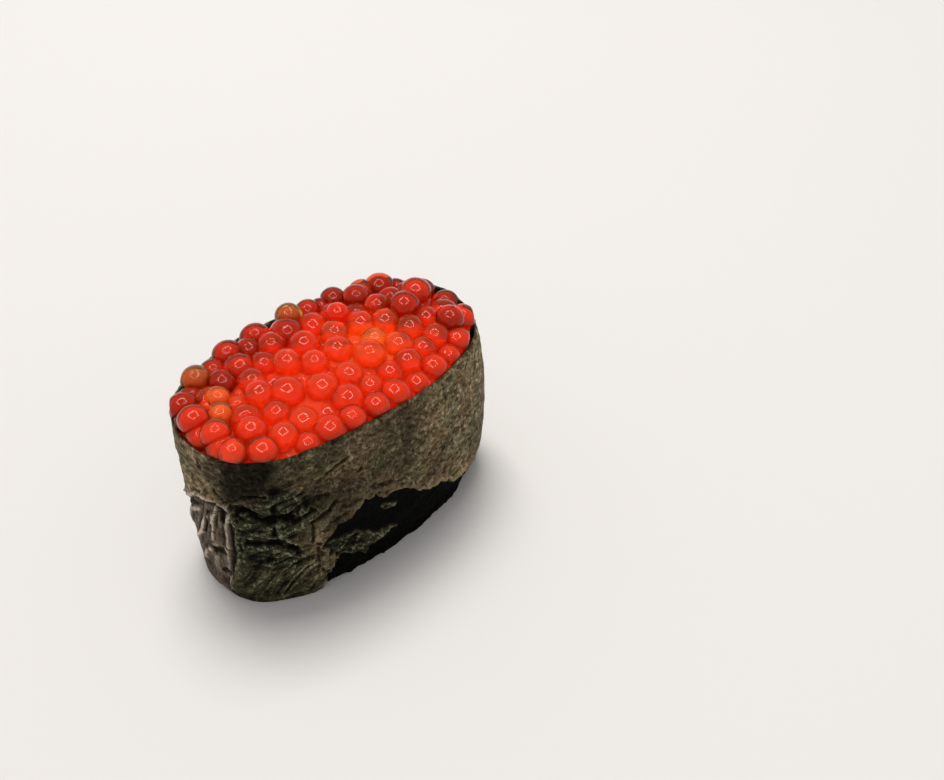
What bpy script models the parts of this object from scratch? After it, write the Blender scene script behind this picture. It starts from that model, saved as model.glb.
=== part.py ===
"""One piece of gunkan sushi, standing on its rice.

Three pieces make it: a pressed bed of rice, an oval band of dried seaweed (nori) that stands
higher than the rice, and a heap of salmon roe that fills the band and domes over its rim.
The long side runs along X and the short side along Y. The origin is at the bottom centre.
"""

import bpy
import numpy as np

MM = 0.001

# The band, whose plan is an oval between an ellipse and a rectangle.
BAND_LENGTH = 58.0 * MM
BAND_WIDTH = 33.0 * MM
BAND_HEIGHT = 33.3 * MM
SQUARENESS = 2.44
NORI_WALL = 0.6 * MM
GAP = 0.3 * MM

# The damp seaweed doesn't stand straight. Its far end bulges and its foot is tucked in.
END_BULGE = 2.0 * MM
BULGE_FULLNESS = 0.8
FOOT_TUCK = 0.9 * MM
TUCK_AT_SIDES = 0.4
TUCK_TOP = 0.22
RIM_WAVE = 0.35 * MM
RIM_DIP = 0.75 * MM
FOOT_WAVE = 0.25 * MM

# Under the flap on the long side it is pressed in. The flap's lower edge: X and height.
HOLLOW_DEPTH = 1.3 * MM
HOLLOW_BELOW = -1.0 * MM
HOLLOW_ABOVE = 3.0 * MM
HOLLOW_START = (-19.0 * MM, -14.0 * MM)
HOLLOW_END = (14.0 * MM, 22.0 * MM)
FLAP_X = np.array([-19.0, -16.0, -12.0, -5.0, -1.0, 4.0, 12.0, 21.0]) * MM
FLAP_Z = np.array([2.0, 9.0, 14.5, 17.8, 15.5, 11.0, 7.5, 3.0]) * MM

# A fold runs across the near end, and the sheet steps up where its outer end lies over it.
FOLD_DEPTH = 0.8 * MM
FOLD_HEIGHT = 23.0 * MM
FOLD_EASE = 2.5 * MM
FOLD_FOOT = 8.0 * MM
FOLD_TURN = 0.25
SEAM_STEP = 0.5 * MM
SEAM_TURN = np.radians(62)
SEAM_RISE = 0.05
SEAM_FADE = (0.5, 1.4)

# Rows up the band, and how many of them the rice fills.
LAP_STEPS = 8000
STATIONS = 88
ROWS = 12
RICE_ROWS = 7
ROE_RINGS = 16
LAST_RICE_RING = 0.5

# The roe: its eggs, and the low dome that they settle under.
EGG_COUNT = 116
EGG_RADIUS = 2.7 * MM
EGG_SPREAD = 0.26 * MM
EGG_SMALLEST = 2.0 * MM
EGG_LARGEST = 3.2 * MM
EGG_SEED = 3
ROE_EDGE = 1.3 * MM
ROE_DOME = 3.0 * MM
ROE_TILT_Y = 0.9 * MM
ROE_TILT_X = 0.5 * MM
ROE_VALLEY = 2.2 * MM
ROE_SPINE = 14.0 * MM
SUNK_SHARE = 0.3
SUNK_LIFT = (-3.2 * MM, -2.0 * MM)
EVEN_LIFT = 0.4 * MM
SETTLE_STEPS = 300
START_SIZE = 0.6
GROWTH = 0.7
PUSH = 0.35
WALL_KEEP = 0.93
WALL_KEEP_LOSS = 0.3

# Eggs that stand out in the heap: centre and radius.
STANDING_EGGS = np.array(
    [
        (1.8, 13.6, 35.2, 2.6),
        (-19.6, 11.0, 34.3, 2.7),
        (-19.8, 4.3, 34.3, 2.2),
        (-21.8, 0.8, 34.2, 2.2),
        (22.1, 2.4, 36.0, 2.8),
        (17.6, 0.4, 36.0, 2.9),
        (21.6, -7.0, 35.0, 2.7),
        (-24.9, 6.8, 34.1, 2.6),
        (-25.7, 2.3, 34.6, 2.7),
        (-25.0, -2.6, 34.2, 2.6),
        (-20.2, -5.2, 33.2, 3.0),
    ]
) * MM

# Eggs that stand in a row against the wall, from the far end round the back to the near end.
RIM_EGGS = 16
RIM_ROW_START = -0.09
RIM_ROW_SPAN = 0.64
RIM_ROW_LIFT = 0.3 * MM
RIM_ROW_TILT = 0.5 * MM
RIM_ROW_DROP = 0.9 * MM
RIM_ROW_CLEAR = 3.6 * MM

NORI_COLOUR = (0.045, 0.047, 0.028, 1.0)
RICE_COLOUR = (0.80, 0.77, 0.68, 1.0)
ROE_COLOUR = (0.75, 0.05, 0.015, 1.0)


def clear_scene():
    """Removes every object that is already in the scene."""
    for old in list(bpy.data.objects):
        bpy.data.objects.remove(old, do_unlink=True)


def smooth_step(low, high, value):
    """Rises smoothly from 0 at low to 1 at high."""
    share = np.clip((value - low) / (high - low), 0, 1)
    return share * share * (3 - 2 * share)


def oval(turn, half_length, half_width):
    """The plan outline at an angle: a superellipse."""
    across = np.cos(turn)
    along = np.sin(turn)
    x = half_length * np.sign(across) * np.abs(across) ** (2 / SQUARENESS)
    y = half_width * np.sign(along) * np.abs(along) ** (2 / SQUARENESS)
    return x, y


def turns_at(places):
    """Angles at the given shares of the way round the oval."""
    turn = np.linspace(0, 2 * np.pi, LAP_STEPS + 1)
    x, y = oval(turn, BAND_LENGTH / 2, BAND_WIDTH / 2)
    along = np.concatenate([[0], np.cumsum(np.hypot(np.diff(x), np.diff(y)))])
    return np.interp(places * along[-1], along, turn)


def even_turns():
    """Angles of the stations, at equal distances along the oval."""
    return turns_at(np.arange(STATIONS) / STATIONS)


def swell(turn, height):
    """How far the seaweed stands out from the plain oval, at an angle and a height."""
    share = np.clip(height / BAND_HEIGHT, 0, 1)
    far_end = np.clip(np.cos(turn), 0, 1) ** 2
    bulge = END_BULGE * far_end * np.sin(np.pi * share) ** BULGE_FULLNESS
    tuck = FOOT_TUCK * (TUCK_AT_SIDES + (1 - TUCK_AT_SIDES) * far_end)
    tuck = tuck * (1 - smooth_step(0, TUCK_TOP, share))

    # Under the flap, on the long side at -Y, the band is pressed into the rice.
    x, y = oval(turn, BAND_LENGTH / 2, BAND_WIDTH / 2)
    edge = np.interp(x, FLAP_X, FLAP_Z, left=0, right=0)
    under = smooth_step(HOLLOW_BELOW, HOLLOW_ABOVE, edge - height) * (y < 0)
    ends = smooth_step(*HOLLOW_START, x) * (1 - smooth_step(*HOLLOW_END, x))
    hollow = HOLLOW_DEPTH * under * ends

    # A fold runs across the near end, and the band is thinner below it.
    near_end = np.clip(-np.cos(turn + FOLD_TURN), 0, 1) ** 4
    fold = FOLD_DEPTH * near_end * (1 - smooth_step(0, FOLD_EASE, height - FOLD_HEIGHT))
    fold = fold * smooth_step(0, FOLD_FOOT, height)
    return bulge - tuck - hollow - fold


def seam(turn):
    """The outer end of the strip lies over its start: one extra thickness, fading away."""
    past = np.mod(turn - SEAM_TURN, 2 * np.pi)
    return SEAM_STEP * smooth_step(0, SEAM_RISE, past) * (1 - smooth_step(*SEAM_FADE, past))


def band_ring(height, inset, outer=False):
    """One closed ring of points round the band, at its height, inset from the outside."""
    turn = even_turns()
    out = swell(turn, height) - inset
    if outer:
        out = out + seam(turn)
    x, y = oval(turn, BAND_LENGTH / 2 + out, BAND_WIDTH / 2 + out)
    return np.stack([x, y, height * np.ones(STATIONS)], axis=1)


def rim_height():
    """Height of the wavy upper edge at each station; it dips along the side at -Y."""
    turn = even_turns()
    wave = np.sin(3 * turn + 1.0) + 0.6 * np.sin(7 * turn + 2.1)
    dip = RIM_DIP * smooth_step(-0.1, 0.6, -np.sin(turn))
    return BAND_HEIGHT - dip + RIM_WAVE * wave / 1.6


def foot_height():
    """Height of the slightly uneven lower edge at each station; it touches the ground."""
    turn = even_turns()
    return FOOT_WAVE * (1 + np.sin(5 * turn + 0.4)) / 2


def row_height(row):
    """Height of a row at each station: row 0 is the foot, row ROWS is the rim."""
    share = row / ROWS
    return foot_height() * (1 - share) + rim_height() * share


def ring_mesh(name, rings, colour, roughness, bottom=None):
    """Makes one object from rings of points, each joined to the next by triangles.

    Neighbouring pieces share their stations and rows. Each diagonal rises with the angle,
    also down the inside of a sleeve, so that their faces run side by side. bottom is a
    centre point that closes the first ring with a fan, and the last ring is then closed by
    a strip from side to side. Without it the last ring is joined to the first, as a sleeve.
    """
    points = [point for ring in rings for point in ring]
    faces = []
    last = len(rings) - 1
    for lower in range(last if bottom is not None else last + 1):
        upper = (lower + 1) % len(rings)
        for here in range(STATIONS):
            there = (here + 1) % STATIONS
            low = lower * STATIONS
            high = upper * STATIONS
            if rings[upper][0][2] > rings[lower][0][2]:
                faces.append((low + here, low + there, high + there))
                faces.append((low + here, high + there, high + here))
            else:
                faces.append((low + here, low + there, high + here))
                faces.append((low + there, high + there, high + here))
    if bottom is not None:
        points.append(bottom)
        for here in range(STATIONS):
            faces.append(((here + 1) % STATIONS, here, len(points) - 1))
        high = last * STATIONS
        for here in range(STATIONS // 2):
            there = here + 1
            across = high + (STATIONS - here) % STATIONS
            if here > 0:
                faces.append((high + here, high + there, across))
            if there < STATIONS // 2:
                faces.append((high + there, high + STATIONS - there, across))
    mesh = bpy.data.meshes.new(name)
    mesh.from_pydata([tuple(map(float, point)) for point in points], [], faces)
    mesh.shade_smooth()
    mesh.set_sharp_from_angle(angle=np.radians(50))
    mesh.materials.append(plain_material(name, colour, roughness))
    piece = bpy.data.objects.new(name, mesh)
    bpy.context.scene.collection.objects.link(piece)
    return piece


def plain_material(name, colour, roughness):
    """A Principled material in the piece's main colour."""
    material = bpy.data.materials.new(name)
    material.use_nodes = True
    shader = material.node_tree.nodes["Principled BSDF"]
    shader.inputs["Base Color"].default_value = colour
    shader.inputs["Roughness"].default_value = roughness
    shader.inputs["Metallic"].default_value = 0.0
    material.diffuse_color = colour
    return material


def make_band():
    """The seaweed band: an open sleeve, its outside first and then down its inside."""
    rows = range(ROWS + 1)
    outside = [band_ring(row_height(row), 0, outer=True) for row in rows]
    inside = [band_ring(row_height(row), NORI_WALL) for row in reversed(rows)]
    return ring_mesh("nori_wrap", outside + inside, NORI_COLOUR, 0.6)


def make_rice():
    """The bed of rice, which fills the lower part of the band and stands on the ground."""
    inset = NORI_WALL + GAP
    rings = [band_ring(np.zeros(STATIONS), inset)]
    rings += [band_ring(row_height(row), inset) for row in range(1, RICE_ROWS + 1)]
    rings.append(rings[-1] * np.array([LAST_RICE_RING, LAST_RICE_RING, 1.0]))
    return ring_mesh("rice_bed", rings, RICE_COLOUR, 0.55, bottom=(0, 0, 0))


def oval_share(x, y, half_length, half_width):
    """0 at the oval's centre and 1 on its outline."""
    power = np.abs(x / half_length) ** SQUARENESS + np.abs(y / half_width) ** SQUARENESS
    return power ** (1 / SQUARENESS)


def wall_distance(x, y):
    """Distance inward from the band's inside, and the direction of the wall from there."""
    half_length = BAND_LENGTH / 2 - NORI_WALL
    half_width = BAND_WIDTH / 2 - NORI_WALL
    share = np.maximum(oval_share(x, y, half_length, half_width), 1e-6)
    steepness = share ** (1 - SQUARENESS)
    slope_x = np.sign(x) * np.abs(x / half_length) ** (SQUARENESS - 1) / half_length * steepness
    slope_y = np.sign(y) * np.abs(y / half_width) ** (SQUARENESS - 1) / half_width * steepness
    slope = np.hypot(slope_x, slope_y)
    return (1 - share) / slope, slope_x / slope, slope_y / slope


def heap_top(x, y):
    """Height that the heap's highest eggs reach: a low dome, a little higher at the back."""
    share = np.minimum(oval_share(x, y, BAND_LENGTH / 2, BAND_WIDTH / 2), 1)
    dome = BAND_HEIGHT + ROE_EDGE + ROE_DOME * (1 - share**2)
    return dome + ROE_TILT_Y * y / (BAND_WIDTH / 2) + ROE_TILT_X * x / (BAND_LENGTH / 2)


def rim_row(random):
    """Eggs that stand against the wall, half above it; those that hit a standing egg go."""
    share = (np.arange(RIM_EGGS) + random.uniform(-0.12, 0.12, RIM_EGGS)) / (RIM_EGGS - 1)
    radius = random.uniform(2.35, 2.85, RIM_EGGS) * MM
    turn = turns_at(np.mod(RIM_ROW_START + RIM_ROW_SPAN * share, 1))
    inset = NORI_WALL + radius * (0.8 - 0.22 * np.cos(turn) ** 4)
    x, y = oval(turn, BAND_LENGTH / 2 - inset, BAND_WIDTH / 2 - inset)
    z = BAND_HEIGHT + RIM_ROW_LIFT + RIM_ROW_TILT * y / (BAND_WIDTH / 2)
    z = z - RIM_ROW_DROP * smooth_step(10 * MM, 20 * MM, x)
    z = z + random.uniform(-0.4, 0.5, RIM_EGGS) * MM
    gap_x = STANDING_EGGS[:, None, 0] - x
    gap_y = STANDING_EGGS[:, None, 1] - y
    clear = np.hypot(gap_x, gap_y).min(axis=0) > RIM_ROW_CLEAR
    return np.column_stack([x, y, z, radius])[clear]


def settle_eggs():
    """Centres and radii of the eggs, pushed apart until they cover the top of the band.

    They start small at random places and grow. Eggs that touch push each other aside, and the
    wall and the domed top hold them in. The standing eggs and the row at the wall keep their
    places, and some of the others lie sunk between their neighbours.
    """
    random = np.random.default_rng(EGG_SEED)
    standing = np.vstack([STANDING_EGGS, rim_row(random)])
    radius = random.normal(EGG_RADIUS, EGG_SPREAD, EGG_COUNT).clip(EGG_SMALLEST, EGG_LARGEST)
    turn = random.uniform(0, 2 * np.pi, EGG_COUNT)
    share = 0.95 * np.sqrt(random.uniform(0, 1, EGG_COUNT))
    x = share * BAND_LENGTH / 2 * np.cos(turn)
    y = share * BAND_WIDTH / 2 * np.sin(turn)
    sunk = random.uniform(0, 1, EGG_COUNT) < SUNK_SHARE
    deep = random.uniform(*SUNK_LIFT, EGG_COUNT)
    lift = np.where(sunk, deep, random.normal(0, EVEN_LIFT, EGG_COUNT))
    centre = np.stack([x, y, np.zeros(EGG_COUNT)], axis=1)
    fixed = len(standing)
    centre[:fixed] = standing[:, :3]
    radius[:fixed] = standing[:, 3]
    for step in range(SETTLE_STEPS):
        loose = centre[fixed:]
        size = radius * min(1, START_SIZE + GROWTH * step / SETTLE_STEPS)
        highest = heap_top(loose[:, 0], loose[:, 1])
        loose[:, 2] = highest + lift[fixed:] - radius[fixed:]
        gap = centre[:, None] - centre[None]
        distance = np.linalg.norm(gap, axis=2) + np.eye(EGG_COUNT)
        press = np.maximum(0, size[:, None] + size[None] - distance)
        move = (gap / distance[..., None] * press[..., None]).sum(axis=1) * PUSH
        loose[:, :2] += move[fixed:, :2]
        room, wall_x, wall_y = wall_distance(loose[:, 0], loose[:, 1])
        above = smooth_step(BAND_HEIGHT - 1 * MM, BAND_HEIGHT + 1 * MM, loose[:, 2])
        push = np.maximum(0, (WALL_KEEP - WALL_KEEP_LOSS * above) * size[fixed:] - room)
        loose[:, 0] -= push * wall_x
        loose[:, 1] -= push * wall_y
    return centre, radius


def make_roe():
    """The heap of roe out to its uneven outline, with a dome for each egg on top."""
    inset = NORI_WALL + GAP
    centre, radius = settle_eggs()

    def surface(x, y):
        across = (x[:, None] - centre[:, 0]) ** 2 + (y[:, None] - centre[:, 1]) ** 2
        rise = np.sqrt(np.maximum(radius**2 - across, 0))
        egg = np.where(across < radius**2, centre[:, 2] + rise, 0).max(axis=1)
        return np.maximum(egg, heap_top(x, y) - ROE_VALLEY)

    floor = row_height(RICE_ROWS) + GAP
    rings = [band_ring(floor, inset)]
    rings += [band_ring(row_height(row), inset) for row in range(RICE_ROWS + 1, ROWS)]
    outline = band_ring(row_height(ROWS), inset)
    spine = np.clip(outline[:, 0], -ROE_SPINE, ROE_SPINE)
    for ring in range(ROE_RINGS):
        share = 1 - ring / ROE_RINGS
        x = spine + (outline[:, 0] - spine) * share
        y = outline[:, 1] * share
        rings.append(np.stack([x, y, surface(x, y)], axis=1))
    bottom = (0, 0, row_height(RICE_ROWS).mean() + GAP)
    return ring_mesh("roe_heap", rings, ROE_COLOUR, 0.15, bottom=bottom)


def centre_pieces(pieces):
    """Moves all pieces together, so that their box is centred over the origin."""
    corners = np.array([point.co for piece in pieces for point in piece.data.vertices])
    middle = (corners.min(axis=0) + corners.max(axis=0)) / 2
    for piece in pieces:
        piece.location = (-middle[0], -middle[1], 0)


clear_scene()
centre_pieces([make_band(), make_rice(), make_roe()])
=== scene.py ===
# %% [markdown]
# # Gunkan sushi, finished
# A gunkan is a small oval block of sushi rice inside a tall band of dried seaweed, and the band
# holds a heap of salmon roe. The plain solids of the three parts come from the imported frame.
# This lesson gives each of them its looks: a wrinkled sheet, a heap of wet eggs, grains of rice.

import bpy
import numpy as np
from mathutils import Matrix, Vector


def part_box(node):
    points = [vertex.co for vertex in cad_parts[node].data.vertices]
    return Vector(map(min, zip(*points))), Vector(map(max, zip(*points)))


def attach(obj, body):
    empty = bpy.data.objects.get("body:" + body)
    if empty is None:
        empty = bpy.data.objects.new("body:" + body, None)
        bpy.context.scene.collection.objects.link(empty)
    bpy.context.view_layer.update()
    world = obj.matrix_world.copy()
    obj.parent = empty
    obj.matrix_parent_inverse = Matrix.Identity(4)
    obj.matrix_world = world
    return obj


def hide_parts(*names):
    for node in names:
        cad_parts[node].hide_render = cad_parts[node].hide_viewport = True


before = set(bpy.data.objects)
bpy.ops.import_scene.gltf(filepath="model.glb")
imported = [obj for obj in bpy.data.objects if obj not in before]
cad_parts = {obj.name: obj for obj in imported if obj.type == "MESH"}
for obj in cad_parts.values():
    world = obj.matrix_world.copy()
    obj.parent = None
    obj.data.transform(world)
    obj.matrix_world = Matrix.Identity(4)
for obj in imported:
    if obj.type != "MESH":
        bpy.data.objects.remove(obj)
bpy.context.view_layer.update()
MM = 0.001
print("nodes:", sorted(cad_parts))

# %% [markdown]
# ## Writing shader maths as plain arithmetic
# A shader is a graph of nodes. Wiring each Math node by hand hides the idea, so one small class
# wraps a socket and adds the Math node that an operator stands for. Numbers alone stay numbers.
# A second class holds a material, and its one method adds any other kind of node.


# %% The value class
class Value:
    """A node's output; arithmetic on it adds Math nodes to the same tree."""

    def __init__(self, tree, socket):
        self.tree = tree
        self.socket = socket

    def maths(self, operation, first, second=None):
        node = self.tree.nodes.new("ShaderNodeMath")
        node.operation = operation
        for place, given in enumerate((first, second)):
            if isinstance(given, Value):
                self.tree.links.new(given.socket, node.inputs[place])
            elif given is not None:
                node.inputs[place].default_value = given
        return Value(self.tree, node.outputs[0])

    def __add__(self, other):
        return self.maths("ADD", self, other)

    def __radd__(self, other):
        return self.maths("ADD", other, self)

    def __sub__(self, other):
        return self.maths("SUBTRACT", self, other)

    def __rsub__(self, other):
        return self.maths("SUBTRACT", other, self)

    def __mul__(self, other):
        return self.maths("MULTIPLY", self, other)

    def __rmul__(self, other):
        return self.maths("MULTIPLY", other, self)

    def __pow__(self, other):
        return self.maths("POWER", self, other)


# %% The finish class
class Finish:
    """The node tree of a new material, or of the world, ready to be filled."""

    def __init__(self, owner):
        owner.use_nodes = True
        self.owner = owner
        self.tree = owner.node_tree
        self.tree.nodes.clear()

    def node(self, kind, settings=None, sockets=None, output=0):
        """Adds a node, sets it up, then joins or fills its sockets, and gives one output."""
        node = self.tree.nodes.new(kind)
        for name, setting in (settings or {}).items():
            if name == "stops":
                ramp = node.color_ramp
                while len(ramp.elements) < len(setting):
                    ramp.elements.new(0.5)
                for element, (place, colour) in zip(ramp.elements, setting):
                    element.position = place
                    element.color = colour
            else:
                setattr(node, name, setting)
        by_name = {}
        for socket in node.inputs:
            by_name.setdefault(socket.name, socket)
            by_name[socket.identifier] = socket
        for name, given in (sockets or {}).items():
            if isinstance(given, Value):
                self.tree.links.new(given.socket, by_name[name])
            else:
                by_name[name].default_value = given
        return Value(self.tree, node.outputs[output]) if node.outputs else None

    def noise(self, place, scale, detail=2.0, roughness=0.5, distortion=0.0):
        """Smooth random values from 0 to 1."""
        return self.node(
            "ShaderNodeTexNoise",
            {"noise_dimensions": "3D"},
            {"Vector": place, "Scale": scale, "Detail": detail,
             "Roughness": roughness, "Distortion": distortion},
        )

    def ramp(self, value, low, high):
        """0 below low, 1 above high, smooth between them."""
        return self.node(
            "ShaderNodeMapRange",
            {"interpolation_type": "SMOOTHSTEP"},
            {"Value": value, "From Min": low, "From Max": high},
        )

    def scaled(self, colour, by):
        """A colour times a number."""
        return self.node(
            "ShaderNodeVectorMath",
            {"operation": "SCALE"},
            {"Vector": colour, "Scale": by},
        )

    def blend(self, factor, first, second):
        """A colour between two colours."""
        return self.node(
            "ShaderNodeMix",
            {"data_type": "RGBA"},
            {"Factor_Float": factor, "A_Color": first, "B_Color": second},
            output=2,
        )

    def attribute(self, name):
        """A number stored on the mesh's points."""
        return self.node("ShaderNodeAttribute", {"attribute_name": name}, output=2)

    def surface(self, sockets):
        """The Principled shader, joined to the material's output."""
        shader = self.node("ShaderNodeBsdfPrincipled", None, sockets)
        self.node("ShaderNodeOutputMaterial", None, {"Surface": shader})
        return self.owner


# %% [markdown]
# ## The band's outline
# In plan the band is an oval between an ellipse and a rectangle, a superellipse: it wraps a
# block of rice that was pressed by hand. Its stations are spaced evenly along the outline, so
# that creases keep their width all the way round. Lengths are in millimetres until the end.

# %% Oval
LENGTH = 58.0
WIDTH = 33.0
HEIGHT = 33.3
SQUARENESS = 2.44
WALL = 0.5
LAP_STEPS = 8000

band_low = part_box("nori_wrap")[0]
SHIFT = np.array([band_low.x / MM + LENGTH / 2, band_low.y / MM + WIDTH / 2, 0.0])
print("the band's own centre in mm:", SHIFT.round(2))


def smooth_step(low, high, value):
    share = np.clip((value - low) / (high - low), 0, 1)
    return share * share * (3 - 2 * share)


def oval(turn, half_length, half_width):
    across, along = np.cos(turn), np.sin(turn)
    x = half_length * np.sign(across) * np.abs(across) ** (2 / SQUARENESS)
    y = half_width * np.sign(along) * np.abs(along) ** (2 / SQUARENESS)
    return x, y


def turns_at(places):
    """Angles at the given shares of the way round the oval, and distances along it."""
    turn = np.linspace(0, 2 * np.pi, LAP_STEPS + 1)
    x, y = oval(turn, LENGTH / 2, WIDTH / 2)
    along = np.concatenate([[0], np.cumsum(np.hypot(np.diff(x), np.diff(y)))])
    return np.interp(places * along[-1], along, turn), places * along[-1], along[-1]


def even_turns(count):
    return turns_at(np.arange(count) / count)[0]


# %% [markdown]
# ## Rings, faces and pieces
# The sheet and the cores are built the same way, as rings of points at an inset from the
# outline, joined by four-sided faces. Every piece then becomes a smooth mesh, in its place, and
# carries the numbers that its finish needs.


# %% From rings to a piece
def ring(turn, inset, height):
    """Points on the oval that lies an inset inside the band's plain outline."""
    x, y = oval(turn, LENGTH / 2 - inset, WIDTH / 2 - inset)
    return np.column_stack([x, y, height + 0 * x])


def ring_faces(rings, stations, closed=False):
    """Faces between rings of points, and from the last ring back to the first if closed."""
    rows = np.arange(rings)[:, None] * stations
    here = np.arange(stations)[None]
    there, above = (here + 1) % stations, np.roll(rows, -1, axis=0)
    faces = np.stack([rows + here, rows + there, above + there, above + here], axis=2)
    return faces[:rings if closed else rings - 1].reshape(-1, 4).tolist()


def make_piece(name, points, faces, numbers):
    """A smooth mesh from points in millimetres, with named numbers stored on the points."""
    mesh = bpy.data.meshes.new(name)
    mesh.from_pydata(((points + SHIFT) * MM).tolist(), [], faces)
    for number, values in numbers.items():
        layer = mesh.attributes.new(number, "FLOAT", "POINT")
        layer.data.foreach_set("value", values.astype(np.float32))
    mesh.shade_smooth()
    piece = bpy.data.objects.new(name, mesh)
    bpy.context.scene.collection.objects.link(piece)
    return piece


# %% [markdown]
# ## Bulge, tuck and overlap
# Damp seaweed sags: the far end bulges, and the foot is tucked in under the rice. At the back
# the end of the strip lies over its start, a small step that fades away. These broad forms are
# those of the plain solid, and they return a distance outward in millimetres.

# %% Broad forms
FAR_BULGE = 2.0
FOOT_TUCK = 0.9
SEAM_TURN = np.radians(62)
SEAM_STEP = 0.45


def swell(turn, height):
    share = np.clip(height / HEIGHT, 0, 1)
    far_end = np.clip(np.cos(turn), 0, 1) ** 2
    bulge = FAR_BULGE * far_end * np.sin(np.pi * share) ** 0.8
    tuck = FOOT_TUCK * (0.4 + 0.6 * far_end) * (1 - smooth_step(0.0, 0.22, share))
    return bulge - tuck


def seam(turn):
    past = np.mod(turn - SEAM_TURN, 2 * np.pi)
    return SEAM_STEP * smooth_step(0, 0.012, past) * (1 - smooth_step(0.5, 1.4, past))


# %% [markdown]
# ## Noise for creases
# Creases need a random height that wraps round the band without a join. Value noise does it: a
# grid of random numbers, read smoothly, whose columns repeat after one lap. Folding the noise
# about its middle gives sharp crests between broad valleys, which is how a sheet crumples.


# %% Noise
def lap_noise(along, height, across, up, seed):
    """Smooth noise from 0 to 1 with cells about across wide and up high; it closes in a lap."""
    columns = max(3, round(LAP / across))
    grid = np.random.default_rng(seed).uniform(0, 1, (columns, 256))
    u = np.mod(along / LAP, 1) * columns
    v = np.mod(height / up + 40, 256)
    left, low = np.floor(u).astype(int), np.floor(v).astype(int)
    fu, fv = smooth_step(0, 1, u - left), smooth_step(0, 1, v - low)
    left, right, low, high = left % columns, (left + 1) % columns, low % 256, (low + 1) % 256
    bottom = grid[left, low] * (1 - fu) + grid[right, low] * fu
    top = grid[left, high] * (1 - fu) + grid[right, high] * fu
    return bottom * (1 - fv) + top * fv


def layered(along, height, across, up, seed, layers=3):
    """Noise with finer noise on top, still from 0 to 1."""
    total = 0
    for layer in range(layers):
        size = 0.5**layer
        total = total + size * lap_noise(along, height, across * size, up * size, seed + layer)
    return total / (2 - 2 * 0.5**layers)


def creases(along, height, across, up, seed, layers=3, finer=0.55):
    """Near 1 on sharp crests, near 0 in the valleys; finer is each next layer's share."""
    warp = 1.4 * (layered(along, height, 1.7 * across, 1.7 * up, seed + 50) - 0.5)
    along, height = along + across * warp, height + up * warp
    total, whole = 0, 0
    for layer in range(layers):
        size, weight = 0.55**layer, finer**layer
        rough = lap_noise(along, height, across * size, up * size, seed + layer)
        total = total + weight * (1 - np.abs(2 * rough - 1) * 1.3)
        whole = whole + weight
    return total / whole


# %% [markdown]
# ## Stations round the band
# A mesh needs the most points where the sheet is most folded. The stations follow the outline
# evenly but for a gentle wave, which brings them closest together on the side with the folds.

# %% Stations
STATIONS = 620
CLOSEST = 0.68
CROWDING = 0.45

evenly = np.arange(STATIONS) / STATIONS
closer = CROWDING * np.sin(2 * np.pi * (evenly - CLOSEST)) / (2 * np.pi)
turn, along, LAP = turns_at(np.sort(np.mod(evenly - closer, 1)))
print("length round the band in mm:", round(LAP, 1))

# %% [markdown]
# ## The seaweed band
# The real band is one strip of pressed seaweed, about a fifth of a millimetre thick, wound once
# round the rice with a short overlap. It could be a cloth simulation, but its creases are known:
# low on the near side it is puckered, and elsewhere it is nearly smooth. So it is a dense sleeve,
# and every zone of creases has a mask from 0 to 1 of its own. Places along the band count in
# millimetres from its near end, towards the side with the torn flap.

# %% The grid of the outer face
OUTER_ROWS = 122
INNER_ROWS = 18
RIM_DIP = 0.75
RIM_WAVE = 0.35
FOOT_TATTER = 1.2


def rim_height():
    wave = (np.sin(3 * turn + 1.0) + 0.6 * np.sin(7 * turn + 2.1)) / 1.6
    nicks = layered(along, 0 * along, 3.0, 3.0, 41) - 0.5
    near = smooth_step(-0.1, 0.6, -np.sin(turn))
    return HEIGHT - RIM_DIP * near + RIM_WAVE * (wave + nicks)


def foot_height():
    notches = layered(along, 0 * along, 2.4, 3.0, 43)
    return 0.05 + FOOT_TATTER * np.clip(notches - 0.45, 0, 1)


share = np.linspace(0, 1, OUTER_ROWS + 1)[:, None]
height = foot_height() + (rim_height() - foot_height()) * share
around = along + 0 * height
round_turn = turn + 0 * height
from_end = around - LAP / 2
print("rows and stations:", height.shape)

# %% [markdown]
# ## The torn flap
# Low on the near side the outer layer has torn away. The edges are drawn on the unrolled band
# as lines through a few places, and noise makes them ragged. The flap ends in an arch, and in
# the hollow under it a strip and a small island of the layer are still in place.

# %% Torn flap
ARCH = (
    (20.5, 10.0), (21.8, 11.6), (25.3, 14.5), (27.8, 15.5), (29.5, 16.6),
    (32.6, 17.0), (34.0, 15.3), (38.7, 13.7), (41.2, 12.4), (42.0, 11.2),
    (44.5, 9.5), (47.4, 9.1), (52.4, 6.2), (58.7, 5.0), (63.0, 1.0),
)
LEFT_EDGE = ((0, 20.6), (3, 22.6), (6.5, 24.0), (9, 22.8), (12, 21.2))
STRIP_TOP = (
    (20.0, 11.2), (24.9, 10.8), (28.3, 10.3), (29.7, 9.3),
    (32.0, 7.8), (34.0, 7.0), (36.6, 5.9), (38.5, 4.5),
)
STRIP_FOOT = (
    (20.0, 3.5), (24.9, 6.2), (28.3, 4.9), (29.7, 3.4),
    (32.0, 5.4), (34.0, 5.8), (36.6, 5.5), (38.5, 5.0),
)
ISLAND_PLACE, ISLAND_HEIGHT = 35.0, 11.8
ISLAND_HALF_LENGTH, ISLAND_HALF_HEIGHT = 1.9, 0.8


def on_line(line, at, **beyond):
    """The second value of a drawn line where its first value is at."""
    return np.interp(at, *np.transpose(line), **beyond)


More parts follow.
